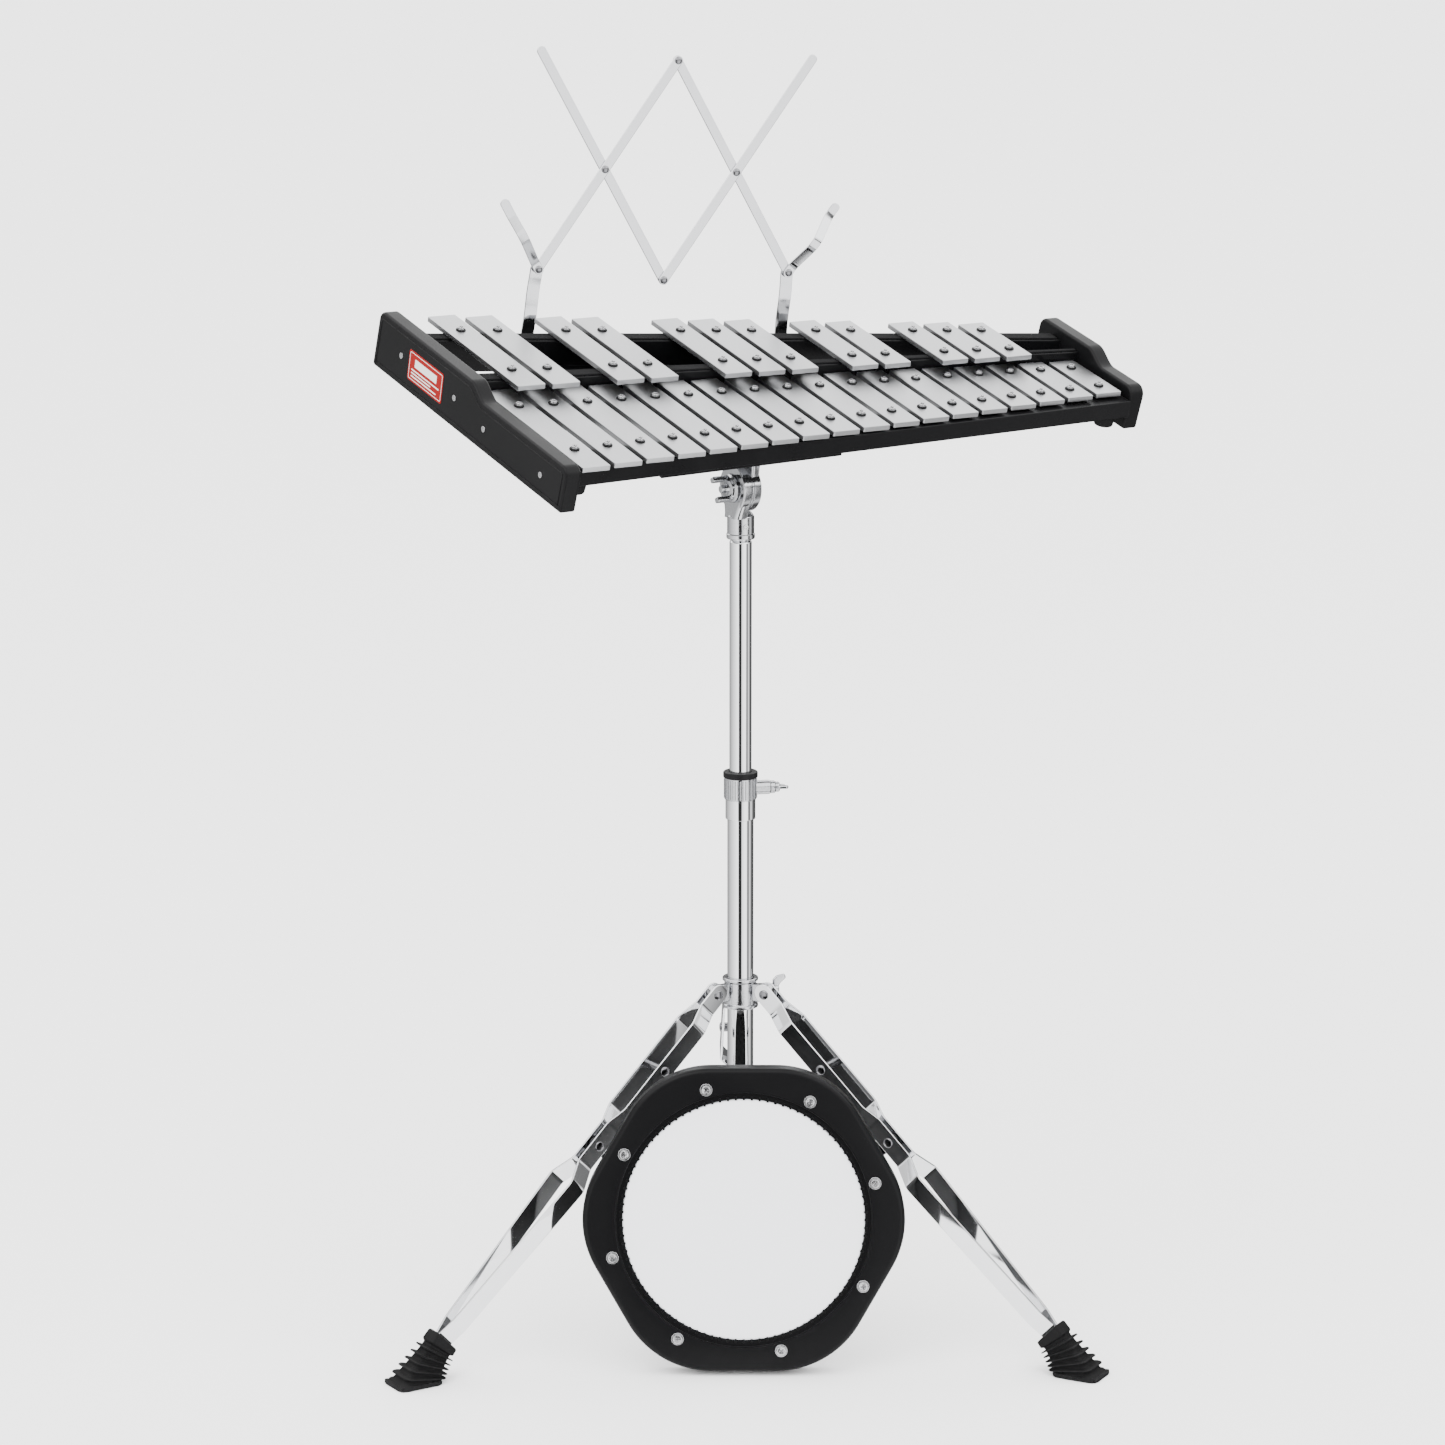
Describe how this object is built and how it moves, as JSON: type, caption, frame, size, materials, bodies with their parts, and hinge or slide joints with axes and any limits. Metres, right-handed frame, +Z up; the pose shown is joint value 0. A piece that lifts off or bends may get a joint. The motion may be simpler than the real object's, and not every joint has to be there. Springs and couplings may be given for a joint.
{
  "type": "bell set",
  "caption": "Table glockenspiel of tuned metal bars on a tapering black frame, with folding music rack, tilting height-adjustable tripod stand and a round practice pad.",
  "frame": {"origin": "bottom centre of the bounding box, on the floor", "axes": "+Z up along the stand tube, -Y towards the player of the pad, +X to the right; the keyboard is swivelled about 32 degrees on the stand"},
  "size_m": [0.6566, 0.5616, 1.0819],
  "materials": {
    "satin_aluminium": "satin",
    "black_vinyl": "satin vinyl over wood",
    "black_lacquer": "gloss lacquer",
    "chrome": "mirror",
    "black_rubber": "matt",
    "dark_steel": "dark satin",
    "bright_steel": "bright",
    "black_abs": "fine matt",
    "white_head": "smooth matt"
  },
  "bodies": {
    "lower_post": {"lower_tube": "chrome"},
    "upper_post": {"upper_tube": "chrome"},
    "socket": {"tilter_socket": "chrome"},
    "table": {"tilter_bracket": "chrome", "key_frame": "black_lacquer", "end_panel_bass": "black_vinyl", "end_panel_treble": "black_vinyl", "bar_natural_01": "satin_aluminium", "bar_natural_02": "satin_aluminium", "bar_natural_03": "satin_aluminium", "bar_natural_04": "satin_aluminium", "bar_natural_05": "satin_aluminium", "bar_natural_06": "satin_aluminium", "bar_natural_07": "satin_aluminium", "bar_natural_08": "satin_aluminium", "bar_natural_09": "satin_aluminium", "bar_natural_10": "satin_aluminium", "bar_natural_11": "satin_aluminium", "bar_natural_12": "satin_aluminium", "bar_natural_13": "satin_aluminium", "bar_natural_14": "satin_aluminium", "bar_natural_15": "satin_aluminium", "bar_natural_16": "satin_aluminium", "bar_natural_17": "satin_aluminium", "bar_natural_18": "satin_aluminium", "bar_accidental_01": "satin_aluminium", "bar_accidental_02": "satin_aluminium", "bar_accidental_03": "satin_aluminium", "bar_accidental_04": "satin_aluminium", "bar_accidental_05": "satin_aluminium", "bar_accidental_06": "satin_aluminium", "bar_accidental_07": "satin_aluminium", "bar_accidental_08": "satin_aluminium", "bar_accidental_09": "satin_aluminium", "bar_accidental_10": "satin_aluminium", "bar_accidental_11": "satin_aluminium", "bar_accidental_12": "satin_aluminium"},
    "tilter_bolt": {"tilter_wing_bolt": "chrome"},
    "height_bolt": {"height_wing_bolt": "chrome"},
    "hub": {"leg_hub": "chrome"},
    "hub_bolt": {"hub_wing_bolt": "chrome"},
    "leg_left": {"leg_left": "chrome", "foot_left": "black_rubber"},
    "brace_left": {"brace_left": "dark_steel"},
    "leg_right": {"leg_right": "chrome", "foot_right": "black_rubber"},
    "brace_right": {"brace_right": "dark_steel"},
    "leg_rear": {"leg_rear": "chrome", "foot_rear": "black_rubber"},
    "brace_rear": {"brace_rear": "dark_steel"},
    "rack_post_left": {"rack_post_left": "bright_steel"},
    "rack_strip_1": {"rack_strip_1": "bright_steel"},
    "rack_strip_2": {"rack_strip_2": "bright_steel"},
    "rack_strip_3": {"rack_strip_3": "bright_steel"},
    "rack_strip_4": {"rack_strip_4": "bright_steel"},
    "rack_post_right": {"rack_post_right": "bright_steel"},
    "holder_left": {"page_holder_left": "bright_steel"},
    "holder_right": {"page_holder_right": "bright_steel"},
    "pad": {"pad_shell": "black_abs", "pad_head": "white_head"}
  },
  "joints": [
    {"name": "post_height", "type": "slide", "parent": "lower_post", "child": "upper_post", "axis": [0, 0, 1], "range_m": [-0.19, 0.11]},
    {"name": "table_swivel", "type": "hinge", "parent": "upper_post", "child": "socket", "pos_m": [-0.0184, -0.06452, 0.681], "axis": [0, 0, 1], "continuous": true},
    {"name": "table_tilt", "type": "hinge", "parent": "socket", "child": "table", "pos_m": [-0.0184, -0.06452, 0.724], "axis": [0.8499, 0.527, 0], "range_deg": [-14.3, 30]},
    {"name": "tilter_bolt_turn", "type": "hinge", "parent": "socket", "child": "tilter_bolt", "pos_m": [-0.0184, -0.06452, 0.724], "axis": [0.8499, 0.527, 0], "continuous": true},
    {"name": "height_bolt_turn", "type": "hinge", "parent": "lower_post", "child": "height_bolt", "pos_m": [0.00635, -0.06105, 0.4675], "axis": [0.9903, 0.1392, 0], "continuous": true},
    {"name": "hub_slide", "type": "slide", "parent": "lower_post", "child": "hub", "axis": [0, 0, 1], "range_m": [0, 0.10813]},
    {"name": "hub_bolt_turn", "type": "hinge", "parent": "hub", "child": "hub_bolt", "pos_m": [0.00605, -0.05933, 0.29], "axis": [0.9781, 0.2079, 0], "continuous": true},
    {"name": "leg_left_fold", "type": "hinge", "parent": "hub", "child": "leg_left", "pos_m": [-0.03951, -0.07792, 0.291], "axis": [0.5358, -0.8443, 0], "range_deg": [0, 39.51]},
    {"name": "brace_left_fold", "type": "hinge", "parent": "lower_post", "child": "brace_left", "pos_m": [-0.03782, -0.07685, 0.088], "axis": [-0.5358, 0.8443, 0], "range_deg": [0, 45.41]},
    {"name": "leg_right_fold", "type": "hinge", "parent": "hub", "child": "leg_right", "pos_m": [0.00375, -0.07611, 0.291], "axis": [0.4633, 0.8862, 0], "range_deg": [0, 39.51]},
    {"name": "brace_right_fold", "type": "hinge", "parent": "lower_post", "child": "brace_right", "pos_m": [0.00198, -0.07518, 0.088], "axis": [-0.4633, -0.8862, 0], "range_deg": [0, 45.41]},
    {"name": "leg_rear_fold", "type": "hinge", "parent": "hub", "child": "leg_rear", "pos_m": [-0.01945, -0.03955, 0.291], "axis": [-0.9991, -0.0419, 0], "range_deg": [0, 39.51]},
    {"name": "brace_rear_fold", "type": "hinge", "parent": "lower_post", "child": "brace_rear", "pos_m": [-0.01937, -0.04154, 0.088], "axis": [0.9991, 0.0419, 0], "range_deg": [0, 45.41]},
    {"name": "rack_lift_out", "type": "slide", "parent": "table", "child": "rack_post_left", "axis": [0.0691, -0.0304, 0.9971], "range_m": [0, 0.06]},
    {"name": "rack_fold", "type": "hinge", "parent": "rack_post_left", "child": "rack_strip_1", "pos_m": [-0.19067, 0.03224, 0.89474], "axis": [0.3265, -0.9438, -0.0514], "range_deg": [0, 28]},
    {"name": "rack_cross_left", "type": "hinge", "parent": "rack_strip_1", "child": "rack_strip_2", "pos_m": [-0.13416, 0.04731, 0.97709], "axis": [0.3265, -0.9438, -0.0514], "range_deg": [-56.01, 0]},
    {"name": "rack_top", "type": "hinge", "parent": "rack_strip_1", "child": "rack_strip_3", "pos_m": [-0.07245, 0.06376, 1.06702], "axis": [0.3265, -0.9438, -0.0514], "range_deg": [-56.01, 0]},
    {"name": "rack_cross_right", "type": "hinge", "parent": "rack_strip_3", "child": "rack_strip_4", "pos_m": [-0.02365, 0.08589, 0.9706], "axis": [0.3265, -0.9438, -0.0514], "range_deg": [0, 56.01]},
    {"name": "rack_post_right_pivot", "type": "hinge", "parent": "rack_strip_3", "child": "rack_post_right", "pos_m": [0.02103, 0.10616, 0.88232], "axis": [0.3265, -0.9438, -0.0514], "range_deg": [0, 28.01]},
    {"name": "holder_left_turn", "type": "hinge", "parent": "rack_post_left", "child": "holder_left", "pos_m": [-0.19067, 0.03224, 0.89474], "axis": [0.3265, -0.9438, -0.0514], "range_deg": [-30, 55]},
    {"name": "holder_right_turn", "type": "hinge", "parent": "rack_post_right", "child": "holder_right", "pos_m": [0.02103, 0.10616, 0.88232], "axis": [-0.3265, 0.9438, 0.0514], "range_deg": [-30, 55]},
    {"name": "pad_lift_off", "type": "slide", "parent": "lower_post", "child": "pad", "axis": [0, -1, 0], "range_m": [0, 0.15]}
  ],
  "couplings": [
    {"joint": "leg_left_fold", "follows": "hub_slide", "rad_per_m": 6.3758},
    {"joint": "brace_left_fold", "follows": "hub_slide", "rad_per_m": 7.3282},
    {"joint": "leg_right_fold", "follows": "hub_slide", "rad_per_m": 6.3758},
    {"joint": "brace_right_fold", "follows": "hub_slide", "rad_per_m": 7.3282},
    {"joint": "leg_rear_fold", "follows": "hub_slide", "rad_per_m": 6.3758},
    {"joint": "brace_rear_fold", "follows": "hub_slide", "rad_per_m": 7.3282},
    {"joint": "rack_cross_left", "follows": "rack_fold", "ratio": -2},
    {"joint": "rack_top", "follows": "rack_fold", "ratio": -2},
    {"joint": "rack_cross_right", "follows": "rack_fold", "ratio": 2},
    {"joint": "rack_post_right_pivot", "follows": "rack_fold", "ratio": 1}
  ]
}
